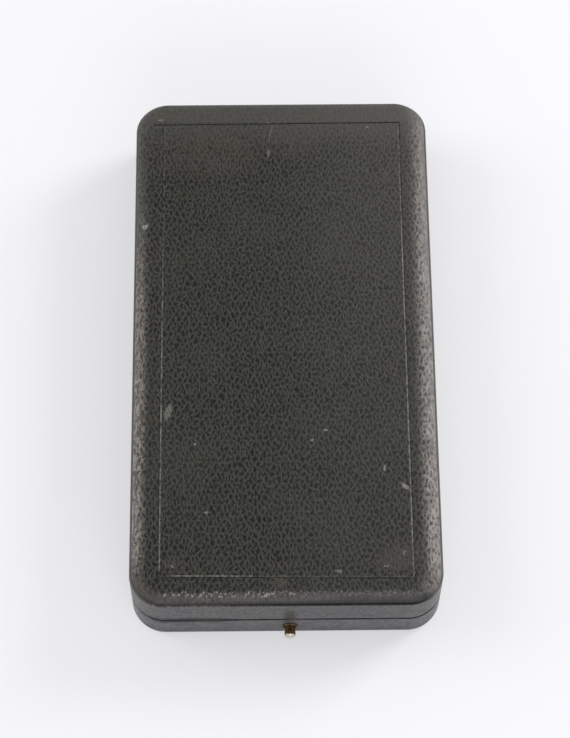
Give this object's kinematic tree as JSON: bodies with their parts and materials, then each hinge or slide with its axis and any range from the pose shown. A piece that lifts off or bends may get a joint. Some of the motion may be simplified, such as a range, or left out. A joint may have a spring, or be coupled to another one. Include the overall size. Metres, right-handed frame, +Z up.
{
  "type": "cased service medal",
  "caption": "Leatherette medal case with a hinged lid, a push-button spring catch, and a ribboned medal lying in a velvet bed inside.",
  "frame": {"origin": "centre of the underside, which is the face that the case rests on", "axes": "+Z up from the underside to the lid's crown; +Y from the push button to the hinges, along the length; +X across the width"},
  "size_m": [0.0704, 0.1341, 0.02],
  "materials": {
    "leatherette": "grained black leatherette, worn and greyed at its edges",
    "pine_frame": "planed softwood",
    "strawboard": "rough board",
    "velvet": "short pile velvet",
    "satin": "ivory satin",
    "wadding": "cotton wadding",
    "brass": "tarnished brass",
    "steel": "drawn steel",
    "bronze": "struck and toned bronze",
    "ribbon_silk": "ribbed silk ribbon in plain stripes"
  },
  "bodies": {
    "base": {"base_cover": "leatherette", "underside_panel": "leatherette", "base_frame": "pine_frame", "base_board": "strawboard", "bed_form": "strawboard", "base_collar": "velvet", "bed_velvet": "velvet", "button_ferrule": "brass", "hinge_left_base_leaf": "brass", "hinge_right_base_leaf": "brass", "hinge_base_brad_1": "brass", "hinge_base_brad_2": "brass", "hinge_base_brad_3": "brass", "hinge_base_brad_4": "brass", "catch_spring_brad_1": "brass", "catch_spring_brad_2": "brass", "hinge_left_pin": "steel", "hinge_right_pin": "steel", "catch_spring": "steel", "brooch_pin": "steel", "medal_disc": "bronze", "medal_eyelet": "bronze", "ribbon_bail": "bronze", "brooch_bar": "bronze", "brooch_pin_lug": "bronze", "brooch_hook": "bronze", "ribbon": "ribbon_silk"},
    "lid": {"lid_side_cover": "leatherette", "lid_frame": "pine_frame", "lid_board": "strawboard", "lid_crown_board": "strawboard", "lid_crown_cover": "leatherette", "lid_lining_strip": "satin", "lid_wadding": "wadding", "lid_satin": "satin", "lid_catch": "brass", "lid_catch_brad_1": "brass", "lid_catch_brad_2": "brass", "hinge_left_lid_leaf": "brass", "hinge_right_lid_leaf": "brass", "hinge_lid_brad_1": "brass", "hinge_lid_brad_2": "brass", "hinge_lid_brad_3": "brass", "hinge_lid_brad_4": "brass"},
    "button": {"push_button": "brass"}
  },
  "joints": [
    {"name": "lid_hinge", "type": "hinge", "parent": "base", "child": "lid", "pos_m": [0, 0.065, 0.0091], "axis": [-1, 0, 0], "range_deg": [0, 105]},
    {"name": "button_press", "type": "slide", "parent": "base", "child": "button", "axis": [0, 1, 0], "range_m": [0, 0.0013], "stiffness_N_per_m": 1500, "deforming": ["catch_spring"]}
  ]
}
